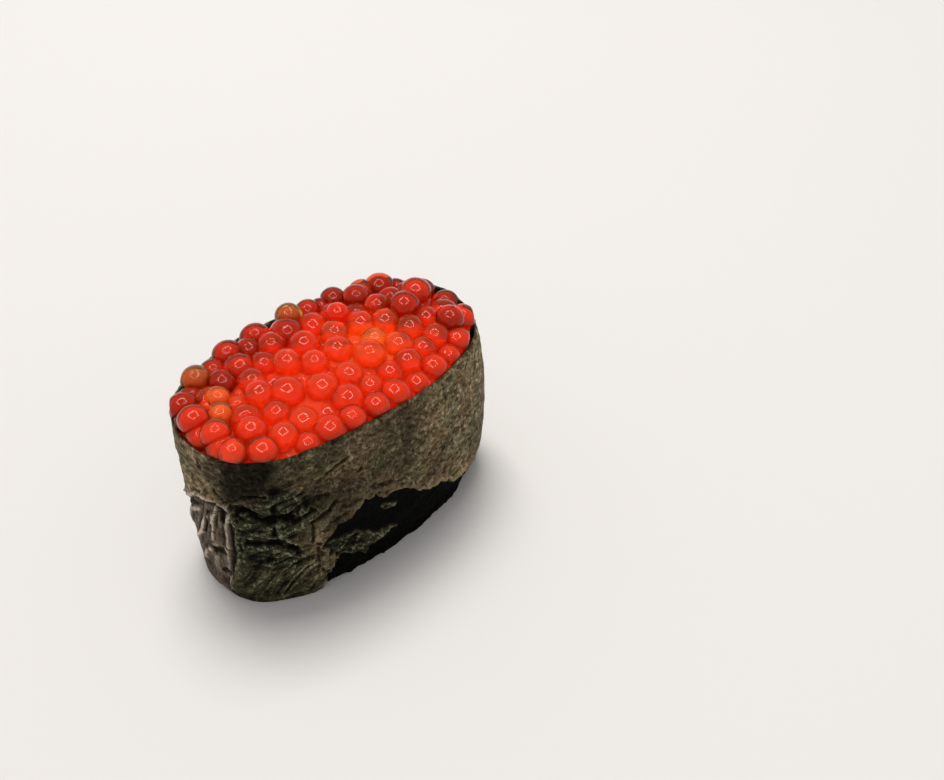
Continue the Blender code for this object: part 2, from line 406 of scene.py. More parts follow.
tatter = 1.2 * (layered(around, 0 * height, 3.0, 3.0, 11, 3) - 0.5)
tatter = tatter + 1.4 * (layered(around, height, 1.1, 1.6, 17, 3) - 0.5)
arch = on_line(ARCH, from_end, left=-3, right=-3) + tatter
left_edge = on_line(LEFT_EDGE, height) + 1.3 * tatter
torn = smooth_step(-0.2, 0.2, arch - height) * smooth_step(-0.3, 0.3, from_end - left_edge)

strip_top = on_line(STRIP_TOP, from_end) + 0.6 * tatter
strip_foot = on_line(STRIP_FOOT, from_end) + 0.9 * tatter
strip = smooth_step(-0.3, 0.3, strip_top - height) * smooth_step(-0.3, 0.3, height - strip_foot)
island_x = (from_end - ISLAND_PLACE) / ISLAND_HALF_LENGTH
island_z = (height + 0.4 * (from_end - ISLAND_PLACE) - ISLAND_HEIGHT) / ISLAND_HALF_HEIGHT
island = 1 - np.hypot(island_x, island_z)
strip = np.maximum(strip, smooth_step(0.0, 0.4, island + 0.7 * tatter)) * torn
# The finish paints this hollow near black, which is painted shade.
shaded_hollow = torn * (1 - strip)
print("share of the sheet that is torn away:", round(float(shaded_hollow.mean()), 3))

# %% [markdown]
# ## Drapery, shaded corner and foot
# At the near end the sheet hangs from a fold in brown folds like drapery, as far as a border that
# runs down to the foot. Past the border, below the fold, it is puckered, and calmer towards the
# foot, and its dark tone there is painted shade. All the way round, a band along the foot gets the
# same painted shade.

# %% Zones
FOLD = (
    (-20, 14.0), (-9, 15.5), (-5, 19.0), (0, 22.0), (3.7, 23.2), (5.8, 22.6),
    (6.6, 22.6), (8.7, 24.5), (10.7, 25.7), (13.0, 26.2), (15.0, 26.0),
)
BORDER = ((0, 3.4), (3, 4.2), (7, 5.5), (12, 6.9), (18, 7.5), (22, 6.6))

fold = on_line(FOLD, from_end) + 0.5 * tatter
border = on_line(BORDER, height) + 0.5 * tatter
past_border = smooth_step(-0.3, 0.4, from_end - border)
brown = smooth_step(-16, -10, from_end) * (1 - past_border) * smooth_step(-0.2, 0.3, fold - height)

cloud = layered(around, height, 5.0, 4.0, 91, 4) - 0.5
falling = 29 - 0.9 * np.clip(from_end - 17, 0, 30)
shaded_zone_top = np.minimum(fold + 6 * smooth_step(12, 17, from_end), falling)
shaded_zone_top = shaded_zone_top + 8 * cloud * smooth_step(10, 16, from_end)
# The puckered corner below the fold, whose dark tone in the finish is painted shade.
damp = smooth_step(-0.5, 3.0, shaded_zone_top - height)
damp = damp * past_border * (1 - smooth_step(17.0, 24.0, from_end + 9 * cloud))
calm = 1 - smooth_step(8.0, 12.0, height + 0.35 * (from_end - 12) + 6 * cloud)
# A band along the foot, all the way round, gets puckers and the same dark tone, painted shade.
foot_top = 3.0 + 6.0 * layered(around, 0 * height, 14, 3, 31)
shaded_foot = smooth_step(-1.0, 2.0, foot_top - height) * (1 - torn) * (1 - damp) * (1 - brown)
print("share of the sheet that is damp:", round(float(damp.mean()), 3))

# %% [markdown]
# ## Drawn creases
# The strongest creases give the crumpled corner its character, so they are drawn one by one, as
# lines through a few places on the unrolled band: distance from the near end, and height. Noise
# makes the lines wander. Each line starts with its strength and its width. The cuts go in and get
# painted shade, the strands hang proud of the drapery, the cord is the roll along the fold, and
# the glints are slight ridges. Strands, cord and glints also get painted highlights.

# %% Strokes
rough_x, rough_z = (layered(around, height, 2.6, 2.6, seed, 3) - 0.5 for seed in (81, 86))
soft_x, soft_z = (lap_noise(around, height, 4.5, 4.5, seed) - 0.5 for seed in (91, 96))
wander_x = from_end + 1.6 * rough_x * (1 - brown) + 0.9 * soft_x * brown
wander_z = height + 1.6 * rough_z * (1 - brown) + 0.9 * soft_z * brown


def stroke(width, *places):
    """1 on a line drawn through the places, falling to 0 within two widths."""
    nearest = 1000
    for (x0, z0), (x1, z1) in zip(places[:-1], places[1:]):
        span_x, span_z = x1 - x0, z1 - z0
        way = (wander_x - x0) * span_x + (wander_z - z0) * span_z
        way = np.clip(way / (span_x**2 + span_z**2), 0, 1)
        off = np.hypot(wander_x - x0 - way * span_x, wander_z - z0 - way * span_z)
        nearest = np.minimum(nearest, off)
    return np.exp(-((nearest / width) ** 2))


def drawn(lines):
    """The sum of strokes, each given as its strength, its width and its places."""
    return sum(strength * stroke(width, *places) for strength, width, *places in lines)


# %% Creases of the crumpled corner
cuts = drawn((
    (1.3, 1.0, (9.0, 22.3), (10.8, 21.2), (12.2, 20.7), (13.6, 20.1)),
    (0.9, 0.7, (14.0, 22.2), (15.2, 20.4), (16.6, 19.4)),
    (0.6, 0.5, (16.2, 20.4), (17.6, 20.9)),
    (1.1, 0.7, (9.8, 15.4), (13.2, 15.1), (14.8, 13.8), (17.0, 11.7)),
    (0.35, 0.4, (13.8, 18.2), (14.3, 16.0), (15.0, 14.2)),
    (0.9, 0.4, (20.3, 17.8), (22.2, 17.9), (24.6, 19.6)),
    (0.35, 0.3, (20.3, 17.8), (20.0, 15.0), (20.3, 13.3)),
    (0.6, 0.45, (21.6, 22.2), (23.0, 22.0)),
    (0.4, 0.4, (20.0, 20.4), (20.6, 20.2)),
    (0.5, 0.35, (23.6, 26.8), (27.0, 28.0)),
    (0.4, 0.3, (29.2, 24.2), (30.2, 24.6)),
    (0.7, 0.4, (4.8, 25.8), (5.4, 24.4), (6.2, 23.4)),
    (1.1, 0.6, (7.4, 24.0), (6.9, 22.3)),
    (0.6, 0.35, (7.2, 23.6), (8.7, 24.6), (10.7, 25.6), (13.0, 25.6)),
    (0.3, 0.4, (13.5, 12.2), (16.0, 10.9), (18.5, 9.4)),
    (0.5, 0.4, (21.0, 12.0), (21.4, 9.5), (20.8, 6.0), (22.0, 4.2)),
    (0.6, 0.5, (32.2, 18.8), (35.6, 17.6)),
    (0.8, 0.7, (1.4, 9.2), (2.6, 9.9), (3.8, 10.5)),
    (0.6, 0.5, (2.4, 5.2), (4.0, 6.2)),
    (0.8, 0.55, (4.7, 21.3), (5.0, 20.0), (5.1, 18.6)),
    (0.5, 0.28, (1.7, 18.8), (0.8, 17.0), (0.2, 15.0), (-0.8, 13.0)),
    (0.4, 0.3, (-1.6, 19.0), (-4.4, 17.4), (-7.4, 14.4)),
    (0.35, 0.28, (6.8, 18.6), (6.9, 15.0), (6.3, 11.4)),
))
glints = drawn((
    (1, 0.3, (7.9, 17.6), (7.5, 14.0), (7.2, 10.4)),
    (1, 0.25, (8.9, 16.4), (8.5, 13.0), (8.2, 11.0)),
    (1, 0.4, (14.4, 18.4), (15.2, 16.0), (16.2, 14.0), (16.9, 12.8)),
    (1, 0.5, (13.2, 12.9), (14.2, 12.0), (16.0, 11.4), (18.2, 9.6)),
    (1, 0.3, (13.2, 23.2), (14.6, 21.6)),
    (1, 0.35, (17.8, 24.0), (18.4, 21.0), (18.6, 17.6)),
    (1, 0.3, (20.9, 15.6), (21.4, 12.6)),
    (1, 0.3, (9.6, 26.6), (11.0, 26.2), (12.4, 26.5), (13.6, 25.6)),
    (1, 0.6, (11.2, 17.2), (12.8, 17.9)),
    (1, 0.3, (4.1, 4.6), (3.9, 2.6)),
))
print("drawn creases reach in, in mm:", round(float(cuts.max()), 2))

# %% Strands of the drapery
cord = stroke(0.4, (-6.0, 17.4), (-2.4, 20.4), (0.2, 22.2), (3.0, 23.0), (4.8, 22.7), (6.1, 21.8))
strands = drawn((
    (0.45, 0.38, (3.9, 21.4), (3.4, 19.0), (2.8, 16.4), (2.3, 14.4), (1.7, 12.2)),
    (0.3, 0.3, (2.9, 18.8), (2.2, 16.4)),
    (0.4, 0.5, (6.4, 20.4), (5.8, 17.8), (5.8, 15.0), (5.4, 12.6)),
    (0.45, 0.5, (1.2, 17.6), (-0.6, 15.0), (-1.9, 12.0), (-3.2, 9.6)),
    (0.4, 0.5, (-1.0, 18.4), (-4.6, 15.6), (-7.6, 12.0), (-9.0, 8.0)),
    (0.4, 0.6, (0.4, 8.8), (-1.2, 7.2), (-3.0, 4.4)),
    (0.3, 0.5, (4.6, 11.4), (4.9, 8.6), (4.3, 6.6)),
    (0.3, 0.3, (4.5, 5.0), (3.9, 2.2)),
))
print("strands reach out, in mm:", round(float(strands.max()), 2))

# %% [markdown]
# ## Folded noise for each zone
# A sheet of pressed seaweed is pebbled, with fibres that were laid down in one direction. The
# drapery has folds that fan out from its border and hang straight. In the puckered corner the
# folds slant down towards the border, with strings of fibre standing up between them.

# %% Noise of the relief
bend = layered(around, height, 17, 13, 3) - 0.5
pebble = creases(around, height, 1.5, 1.2, 5, 2) - 0.5
lean = 0.75 * LAP / (2 * np.pi) * np.sin(2 * np.pi * (from_end - 43) / LAP)
weave = creases(around, height + lean, 1.7, 0.6, 8, 2, 0.7) - 0.5
crumple = creases(around - 0.6 * height, height, 7.0, 4.5, 61, 4, 0.42) - 0.5

fan = 13 * (from_end - 6.5) / (32 - height)
hanging = height + 0.5 * from_end
broad_folds = creases(fan, hanging, 1.9, 16.0, 14, 2, 0.45)
narrow_folds = creases(fan, hanging, 0.9, 9.0, 24, 2)
upright = 0.6 * broad_folds + 0.4 * narrow_folds - 0.45

sway = 4.0 * np.sin(2 * np.pi * around / LAP * 4 + 0.6)
near_corner = (from_end - 12) * np.exp(-(((from_end - 12) / 14) ** 2))
sloping = height + sway + near_corner * (1.5 * smooth_step(6, 14, height) - 0.9)
slant = creases(around, sloping, 6.0, 2.6, 19, 4, 0.42) - 0.5
strings = creases(around, sloping, 3.6, 1.1, 27, 3) - 0.5
print("the slanting folds run from", slant.min().round(2), "to", slant.max().round(2))

# %% [markdown]
# ## Relief
# Each zone now gets its own share of each kind of fold, as a distance outward in millimetres.
# A thin ledge runs above the fold, and the torn flap has a lip that stands a little proud,
# with frayed fibres above it and the hollow below.

# %% Outward distance
away_from_foot = smooth_step(0, 3.0, height)
ledge = smooth_step(-10, -4, from_end) * (1 - smooth_step(13, 15, from_end))
ledge = ledge * np.exp(-(((height - fold - 0.35) / 0.4) ** 2))
lip = np.exp(-(((height - arch - 0.3) / 0.4) ** 2)) * smooth_step(22, 24, from_end)
lip = lip * (1 - smooth_step(58, 61, from_end))
frayed = np.exp(-(((height - arch - 1.0) / 1.3) ** 2)) * smooth_step(20, 23, from_end)
frayed = frayed * (1 - smooth_step(56, 60, from_end)) * (1 - torn)

out = swell(round_turn, height) + seam(round_turn) + 0.5 * bend
out = out + (1 - 0.6 * np.maximum(brown, damp)) * (0.10 * pebble + 0.13 * weave)
out = out + 0.3 * crumple * (1 - brown)
out = out + brown * away_from_foot * (0.55 * upright + 1.1 * strands - 0.4)
puckers = (1 - 0.5 * calm) * (0.9 * slant + 0.5 * crumple + 0.4 * strings)
out = out + damp * away_from_foot * puckers
out = out + shaded_foot * (0.5 * slant + 0.4 * crumple - 0.1)
out = out - cuts + 0.18 * glints + 0.5 * cord + 0.1 * ledge + 0.25 * lip
out = out - 0.95 * shaded_hollow - 0.4 * strip
out = out + strip * (0.6 * slant + 0.5 * crumple) + shaded_hollow * 0.5 * slant + 0.5 * frayed * strings
out = out - 0.12 * smooth_step(0.985, 1.0, share)
print("relief in mm:", out.min().round(2), "to", out.max().round(2))

# %% [markdown]
# ## Crests and hollows
# The finish paints light on a crest and shade in a hollow. How much each point stands out from the
# mean of its neighbours tells one from the other, and the finish reads it.

# %% Crests
def blurred(values, reach):
    """Mean over a square of points, which wraps round the band."""
    for axis in (0, 1):
        pad = ((reach, reach), (0, 0)) if axis == 0 else ((0, 0), (reach, reach))
        wide = np.pad(values, pad, mode="edge" if axis == 0 else "wrap")
        size = values.shape[axis]
        values = sum(np.take(wide, range(k, k + size), axis) for k in range(2 * reach + 1))
        values = values / (2 * reach + 1)
    return values


sharp = 7 - 2 * np.maximum(damp, brown)
# This number paints light on crests and shade in hollows in the finish.
crest = (out - blurred(out, 2)) * sharp + (out - blurred(out, 7)) * 2.6
# The cuts get painted shade, and the glints, the lip, the strands and the cord get painted
# highlights.
crest = crest + 0.9 * glints - 1.2 * np.clip(cuts, 0, 1) + 0.8 * lip
crest = crest + 0.6 * brown * strands + 0.9 * cord
crest = crest / (1 + 0.5 * np.abs(crest))
print("crests from", crest.min().round(2), "to", crest.max().round(2))

# %% [markdown]
# ## Bloom
# The dry sheet is not one tone. It is palest towards both ends and above the fold, and darkest in
# the middle of the side, near the rim. Patches break it up, most of all in that dark middle.

# %% Tone
TONE = (
    (-20, 1.3), (-5, 2.0), (1, 2.4), (7, 1.1), (14, 0.8), (20, 0.95), (26, 1.15),
    (34, 1.3), (44, 1.6), (56, 2.1), (64, 2.3), (75, 1.3), (95, 1.1), (130.5, 1.3),
)

bloom = on_line(TONE, np.mod(from_end + 20, LAP) - 20)
middle = smooth_step(3, 9, from_end) * (1 - smooth_step(20, 30, from_end))
bloom = bloom * (1 - 0.1 * middle * smooth_step(22, 28, height))
above_fold = np.exp(-(((height - fold - 3) / 3) ** 2)) * (1 - smooth_step(2, 7, from_end))
bloom = bloom * (1 + 0.4 * above_fold * smooth_step(-14, -8, from_end))
patch = layered(around - 0.3 * height, height, 6, 7, 71, 4) - 0.5
bloom = bloom * np.clip(1.1 + (1.5 + 2.9 * middle) * patch, 0.2, 2.4) + 0.9 * calm * damp
print("bloom from", bloom.min().round(2), "to", bloom.max().round(2))

# %% [markdown]
# ## The sheet's mesh
# The outer face comes first, ring by ring from the foot to the rim, and then the inner face
# back down to the foot, so that one closed sleeve has a real thickness. The zones are stored
# on its points as numbers. The inner face keeps to the broad forms, but never comes nearer to
# the outer one than a quarter of a millimetre.

# %% Build the sheet
LEAST_WALL = 0.25
INNER_BLOOM = 0.3


def zone_values():
    """What the finish needs to know about each point of the outer face."""
    # This mask picks the dark tones that are painted shade: the puckered corner, a band along the
    # foot and the strip.
    painted_shade_mask = np.maximum(np.maximum(damp * (1 - 0.15 * calm), 0.8 * shaded_foot), strip)
    draped = np.maximum(brown * (0.55 + 0.45 * smooth_step(0, 3.5, fold - height)), cord)
    return {"brown": draped, "damp": painted_shade_mask, "torn": shaded_hollow, "crest": crest, "bloom": bloom}


def build_band():
    rings = [ring(turn, -out[row], height[row]) for row in range(OUTER_ROWS + 1)]
    for row in np.linspace(OUTER_ROWS, 0, INNER_ROWS + 1).astype(int):
        plain = swell(turn, height[row]) - WALL - 0.9 * torn[row]
        inside = np.minimum(plain, out[row] - LEAST_WALL)
        rings.append(ring(turn, -inside, height[row]))
    numbers = {}
    for name, values in zone_values().items():
        inner = np.full((INNER_ROWS + 1) * STATIONS, INNER_BLOOM if name == "bloom" else 0.0)
        numbers[name] = np.concatenate([values.ravel(), inner])
    faces = ring_faces(len(rings), STATIONS, closed=True)
    return make_piece("nori_sheet", np.concatenate(rings), faces, numbers)


nori = build_band()
print("seaweed sheet:", len(nori.data.polygons), "faces")

# %% [markdown]
# ## Seaweed finish
# Dried seaweed is nearly black-green, with a khaki bloom where it is dry. The puckered corner, the
# foot and the strip are darker and greener, and that darkness is painted shade, as is the near
# black of the torn hollow. Fibres and tiny pits cover it. The zones stored on the mesh steer the
# base colour, the crests pick between painted shade and painted light, with painted highlights on
# the glints and flecks, and noise breaks them up. Fibres and pits are too fine for the mesh, so
# they are bump.

# %% Seaweed colours
# The hollow colours are painted shade, the shaded zone's colours and the torn hollow's colour are
# painted shade, and the glints and fibre flecks are painted highlights; the browns, the khaki and
# the pits are the sheet's own.
DRY_HOLLOW_PAINTED_SHADE = (0.020, 0.013, 0.005, 1)
DRY_BROWN = (0.116, 0.080, 0.045, 1)
DRY_KHAKI = (0.095, 0.082, 0.043, 1)
DRY_FIBRE_PAINTED_HIGHLIGHT = (0.165, 0.142, 0.088, 1)
SHADED_ZONE_HOLLOW_SHADE = (0.001, 0.001, 0.0005, 1)
SHADED_ZONE_CREST = (0.037, 0.037, 0.019, 1)
SHADED_ZONE_GLINT = (0.15, 0.155, 0.10, 1)
DRAPE_HOLLOW_PAINTED_SHADE = (0.012, 0.008, 0.005, 1)
DRAPE_CREST = (0.128, 0.099, 0.072, 1)
DRAPE_PAINTED_GLINT = (0.42, 0.35, 0.28, 1)
HOLLOW_PAINTED_SHADE = (0.001, 0.001, 0.0007, 1)
PIT_COLOUR = (0.002, 0.0015, 0.001, 1)


# %% Seaweed material
def make_nori_finish():
    finish = Finish(bpy.data.materials.new("nori"))
    place = finish.node("ShaderNodeTexCoord", output=3)
    drawn_out = finish.node(
        "ShaderNodeMapping", None,
        {"Vector": place, "Scale": (1.0, 1.0, 0.4), "Rotation": (0.5, 0.4, 0.0)},
    )
    grain = finish.noise(place, 850.0, 4.0, 0.65, 0.4)
    fibre = finish.noise(drawn_out, 1300.0, 3.0, 0.7, 1.2)
    fine = finish.ramp(finish.noise(place, 1900.0, 3.0, 0.75, 0.3), 0.32, 0.68)
    pit = finish.ramp(finish.noise(place, 650.0, 2.0, 0.5), 0.6, 0.68)
    hue = finish.ramp(finish.noise(place, 170.0, 3.0, 0.6), 0.4, 0.6)
    crest = finish.attribute("crest")
    bloom = finish.attribute("bloom")
    # This share picks painted shade in the hollows and painted light on the crests.
    high = finish.ramp(crest + (grain - 0.5) * 1.3, -0.7, 0.8)

    dry = finish.blend(high, DRY_HOLLOW_PAINTED_SHADE, finish.blend(hue, DRY_BROWN, DRY_KHAKI))
    # The pale flecks are painted highlights on the fibres.
    dry = finish.blend(finish.ramp(grain * 0.6 + fibre * 0.4, 0.5, 0.66), dry, DRY_FIBRE_PAINTED_HIGHLIGHT)
    dry = finish.scaled(dry, bloom * (fine * 0.8 + 0.6))

    # The glint is a painted highlight on crests, drawn glints and fibres.
    glint = finish.ramp(crest + (fibre - 0.5) * 2.4 + (fine - 0.5) * 0.9, 0.5, 1.5)
    # The puckered corner, the foot band and the strip: a dark tone that is painted shade, with
    # painted glints on the crests.
    damp = finish.blend(high, SHADED_ZONE_HOLLOW_SHADE, SHADED_ZONE_CREST)
    damp = finish.blend(glint * 0.8, damp, SHADED_ZONE_GLINT)
    damp = finish.scaled(damp, (fine * 1.3 + 0.35) * (bloom * 0.45 + 0.5))

    # The drapery: painted shade in its hollows, painted light on its crests, and painted
    # highlights on its strands and cord.
    painted_drape_lit_share = finish.ramp(crest + (grain - 0.5) * 1.2, -0.9, 0.5)
    brown = finish.blend(painted_drape_lit_share, DRAPE_HOLLOW_PAINTED_SHADE, DRAPE_CREST)
    brown = finish.blend(finish.ramp(crest + grain - 0.5, 0.3, 1.1), brown, DRAPE_PAINTED_GLINT)
    brown = finish.scaled(brown, (fine * 0.8 + 0.6) * (bloom * 0.3 + 0.6))

    colour = finish.blend(finish.attribute("damp"), dry, damp)
    colour = finish.blend(finish.attribute("brown"), colour, brown)
    # The torn hollow is painted near black: painted shade.
    colour = finish.blend(finish.attribute("torn"), colour, HOLLOW_PAINTED_SHADE)
    colour = finish.blend(pit * 0.65, colour, PIT_COLOUR)
    relief = grain * 0.6 + fibre * 0.5 - pit * 0.5
    bump = finish.node(
        "ShaderNodeBump", None, {"Strength": 0.6, "Distance": 0.00015, "Height": relief},
    )
    return finish.surface({
        "Base Color": colour,
        "Roughness": 0.5 + grain * 0.2,
        "Specular IOR Level": 0.03,
        "Normal": bump,
    })


nori.data.materials.append(make_nori_finish())

# %% [markdown]
# ## Packing the roe
# A spoonful of roe settles into a random heap, each egg pressed a little flat where it meets its
# neighbours. A rigid body simulation would do it, but a short relaxation is quicker and always
# gives the same heap: eggs start small at random places, grow, and push each other apart, while
# the wall, the floor and a low dome hold them in. A few eggs that stand up at the edge are listed,
# each as its place, its radius and its tone, and a row of eggs leans on the wall round the back.
# Those stay still while the others settle between them.

# %% Eggs of the heap
EGG_COUNT = 116
EGG_RADIUS = 2.7
EGG_SPREAD = 0.26
EGG_SMALLEST, EGG_LARGEST = 2.0, 3.2
EGG_SEED = 3
# A tone below 0 darkens an egg at either end: painted shade.
STANDING_EGGS = np.array([
    (1.8, 13.6, 35.2, 2.6, 1.0),
    (-19.6, 11.0, 34.3, 2.7, 1.0),
    (-19.8, 4.3, 34.3, 2.2, 0.8),
    (-21.8, 0.8, 34.2, 2.2, 0.8),
    (22.1, 2.4, 36.0, 2.8, -0.15),
    (17.6, 0.4, 36.0, 2.9, -0.3),
    (21.6, -7.0, 35.0, 2.7, -0.4),
    (-24.9, 6.8, 34.1, 2.6, -0.35),
    (-25.7, 2.3, 34.6, 2.7, -0.1),
    (-25.0, -2.6, 34.2, 2.6, 0.3),
    (-20.2, -5.2, 33.2, 3.0, 0.2),
])
RIM_EGGS = 16
RIM_ROW_START = -0.09
RIM_ROW_SPAN = 0.64
RIM_ROW_CLEAR = 3.6


def oval_share(x, y, half_length, half_width):
    power = np.abs(x / half_length) ** SQUARENESS + np.abs(y / half_width) ** SQUARENESS
    return power ** (1 / SQUARENESS)


def wall_distance(x, y):
    """Distance inward from the band's inside, and the direction of the wall from there."""
    half_length, half_width = LENGTH / 2 - WALL, WIDTH / 2 - WALL
    share = np.maximum(oval_share(x, y, half_length, half_width), 1e-6)
    steep = share ** (1 - SQUARENESS)
    slope_x = np.sign(x) * np.abs(x / half_length) ** (SQUARENESS - 1) / half_length * steep
    slope_y = np.sign(y) * np.abs(y / half_width) ** (SQUARENESS - 1) / half_width * steep
    slope = np.hypot(slope_x, slope_y)
    return (1 - share) / slope, slope_x / slope, slope_y / slope


def heap_top(x, y):
    share = np.minimum(oval_share(x, y, LENGTH / 2, WIDTH / 2), 1)
    dome = HEIGHT + 1.3 + 3.0 * (1 - share**2)
    return dome + 0.9 * y / (WIDTH / 2) + 0.5 * x / (LENGTH / 2)


def rim_row(random):
    """Eggs that stand against the wall, half above it, from the right end round to the left."""
    share = (np.arange(RIM_EGGS) + random.uniform(-0.12, 0.12, RIM_EGGS)) / (RIM_EGGS - 1)
    radius = random.uniform(2.35, 2.85, RIM_EGGS)
    turn = turns_at(np.mod(RIM_ROW_START + RIM_ROW_SPAN * share, 1))[0]
    inset = WALL + radius * (0.8 - 0.22 * np.cos(turn) ** 4)
    x, y = oval(turn, LENGTH / 2 - inset, WIDTH / 2 - inset)
    z = HEIGHT + 0.3 + 0.5 * y / (WIDTH / 2) - 0.9 * smooth_step(10, 20, x)
    z = z + random.uniform(-0.4, 0.5, RIM_EGGS)
    gap_x = STANDING_EGGS[:, None, 0] - x
    gap_y = STANDING_EGGS[:, None, 1] - y
    clear = np.hypot(gap_x, gap_y).min(axis=0) > RIM_ROW_CLEAR
    return np.column_stack([x, y, z, radius])[clear]


# %% Settle the eggs
SETTLE_STEPS = 300
SUNK_SHARE = 0.3
SUNK_LIFT = (-3.2, -2.0)
EVEN_LIFT = 0.4
START_SIZE = 0.6
GROWTH = 0.7
PUSH = 0.35
WALL_KEEP = 0.93
WALL_KEEP_LOSS = 0.3


def settle_eggs():
    """Middle and radius of each egg, and how many of them were set before the settling."""
    random = np.random.default_rng(EGG_SEED)
    standing = np.vstack([STANDING_EGGS[:, :4], rim_row(random)])
    radius = random.normal(EGG_RADIUS, EGG_SPREAD, EGG_COUNT).clip(EGG_SMALLEST, EGG_LARGEST)
    turn = random.uniform(0, 2 * np.pi, EGG_COUNT)
    share = 0.95 * np.sqrt(random.uniform(0, 1, EGG_COUNT))
    x, y = share * LENGTH / 2 * np.cos(turn), share * WIDTH / 2 * np.sin(turn)
    sunk = random.uniform(0, 1, EGG_COUNT) < SUNK_SHARE
    deep, even = random.uniform(*SUNK_LIFT, EGG_COUNT), random.normal(0, EVEN_LIFT, EGG_COUNT)
    lift = np.where(sunk, deep, even)
    centre = np.stack([x, y, np.zeros(EGG_COUNT)], axis=1)
    fixed = len(standing)
    centre[:fixed], radius[:fixed] = standing[:, :3], standing[:, 3]
    for step in range(SETTLE_STEPS):
        loose = centre[fixed:]
        size = radius * min(1, START_SIZE + GROWTH * step / SETTLE_STEPS)
        loose[:, 2] = heap_top(loose[:, 0], loose[:, 1]) + lift[fixed:] - radius[fixed:]
        gap = centre[:, None] - centre[None]
        distance = np.linalg.norm(gap, axis=2) + 1000 * np.eye(EGG_COUNT)
        press = np.maximum(0, size[:, None] + size[None] - distance)
        move = (gap / distance[..., None] * press[..., None]).sum(axis=1) * PUSH
        loose[:, :2] += move[fixed:, :2]
        room, wall_x, wall_y = wall_distance(loose[:, 0], loose[:, 1])
        above_rim = smooth_step(HEIGHT - 1.0, HEIGHT + 1.0, loose[:, 2])
        keep = WALL_KEEP - WALL_KEEP_LOSS * above_rim
        push = np.maximum(0, keep * size[fixed:] - room)
        loose[:, 0] -= push * wall_x
        loose[:, 1] -= push * wall_y
    return centre, radius, fixed


egg_centre, egg_radius, STANDING_COUNT = settle_eggs()
print("eggs:", len(egg_radius), "mean diameter in mm:", round(2 * egg_radius.mean(), 2))

# %% [markdown]
# ## Eggs with flats
# Each egg starts as a sphere. Towards a neighbour its surface stops at the plane where the two
# would meet, and a soft minimum rounds the edge of that flat, so the eggs touch without running
# into each other. All eggs are one mesh, and each keeps a tone of its own: amber ones lie
# together, and the ones at the back and at the right end are darkened with painted shade.


# %% Shapes of eggs
def unit_ball(subdivisions):
    """Points and faces of a ball of radius 1."""
    bpy.ops.mesh.primitive_ico_sphere_add(subdivisions=subdivisions, radius=1)
    ball = bpy.context.object
    points = np.array([vertex.co for vertex in ball.data.vertices])
    faces = np.array([polygon.vertices for polygon in ball.data.polygons])
    bpy.data.objects.remove(ball, do_unlink=True)
    return points / np.linalg.norm(points, axis=1)[:, None], faces


def soft_flat(ways, reach, towards, distance, hardness=26):
    """Reach along each way, held short of planes at a distance towards each neighbour."""
    total = reach ** -hardness * np.ones(len(ways))
    for direction, flat in zip(towards, distance):
        facing = ways @ direction
        hit = np.where(facing > 0.05, flat / np.maximum(facing, 0.05), 1e3)
        total = total + hit ** -float(hardness)
    return total ** (-1 / hardness)


def joined(name, parts, faces, tones):
    """One mesh from many copies of the same faces, with a tone for each copy."""
    count = len(parts[0])
    all_faces = np.concatenate([faces + count * copy for copy in range(len(parts))])
    tone = {"tone": np.repeat(tones, count)}
    return make_piece(name, np.concatenate(parts), all_faces.tolist(), tone)


# %% Tone of each egg
def amber_places(x, y):
    """1 where the riper, more orange eggs lie, falling to 0 around them."""
    middle = np.exp(-((x - 9) ** 2 + (y + 1) ** 2) / 36)
    return np.clip(middle + 1.5 * np.exp(-((x + 20) ** 2 + (y - 4) ** 2) / 8), 0, 1)


def tone_by_place():
    """0 for a red egg, up to 1 for an amber one, below 0 for one darkened with painted shade."""
    x, y = egg_centre[:, 0], egg_centre[:, 1]
    tone = 0.55 * np.random.default_rng(8).uniform(0, 1, EGG_COUNT) + 0.7 * amber_places(x, y)
    # The eggs at the back and at the right end are darkened: painted shade.
    tone = tone * smooth_step(-15, -8, y) - 0.6 * smooth_step(6, 13, y + 0.35 * np.abs(x))
    tone = tone - 0.25 * smooth_step(15, 22, x) * smooth_step(-10, -5, y)
    tone[:len(STANDING_EGGS)] = STANDING_EGGS[:, 4]
    return tone


egg_tone = tone_by_place()
print("tones from", egg_tone.min().round(2), "to", egg_tone.max().round(2))

# %% Build the eggs
EGG_GAP = 0.02
EGG_SQUASH = (1.01, 1.01, 0.94)
LEAST_WALL_FLAT = 0.75


def build_eggs():
    ways, faces = unit_ball(4)
    random = np.random.default_rng(8)
    parts = []
    for centre, radius in zip(egg_centre, egg_radius):
        gap = egg_centre - centre
        distance = np.linalg.norm(gap, axis=1)
        near = (distance > 0) & (distance < radius + egg_radius + 0.05)
        flat = (distance[near] ** 2 + radius**2 - egg_radius[near] ** 2) / (2 * distance[near])
        towards = gap[near] / distance[near][:, None]
        room, wall_x, wall_y = wall_distance(centre[:1], centre[1:2])
        if room[0] < radius:
            towards = np.vstack([towards, (wall_x[0], wall_y[0], 0)])
            flat = np.append(flat, max(room[0], LEAST_WALL_FLAT * radius))
        reach = soft_flat(ways, radius, towards, flat - EGG_GAP)
        flattened = random.normal(1, 0.03, 3) * EGG_SQUASH
        parts.append(centre + ways * reach[:, None] * flattened)
    return joined("roe_eggs", parts, faces, egg_tone)


eggs = build_eggs()
print("egg mesh:", len(eggs.data.polygons), "triangles")

# %% [markdown]
# ## Hearts
# In the middle of the heap an egg is backed by red depth. One that stands against the wall or
# the open air would show it through its clear jelly and look pale. The real yolk is cloudy and
# sinks a little, so these eggs get an opaque heart, smaller than the skin and set low in it.

# %% Build the hearts
HEART = 0.74
HEART_SQUASH = (1, 1, 0.94)
HEART_DROP = (0, 0, 0.12)
NEAR_WALL = 1.2
DARK_TONE = -0.15


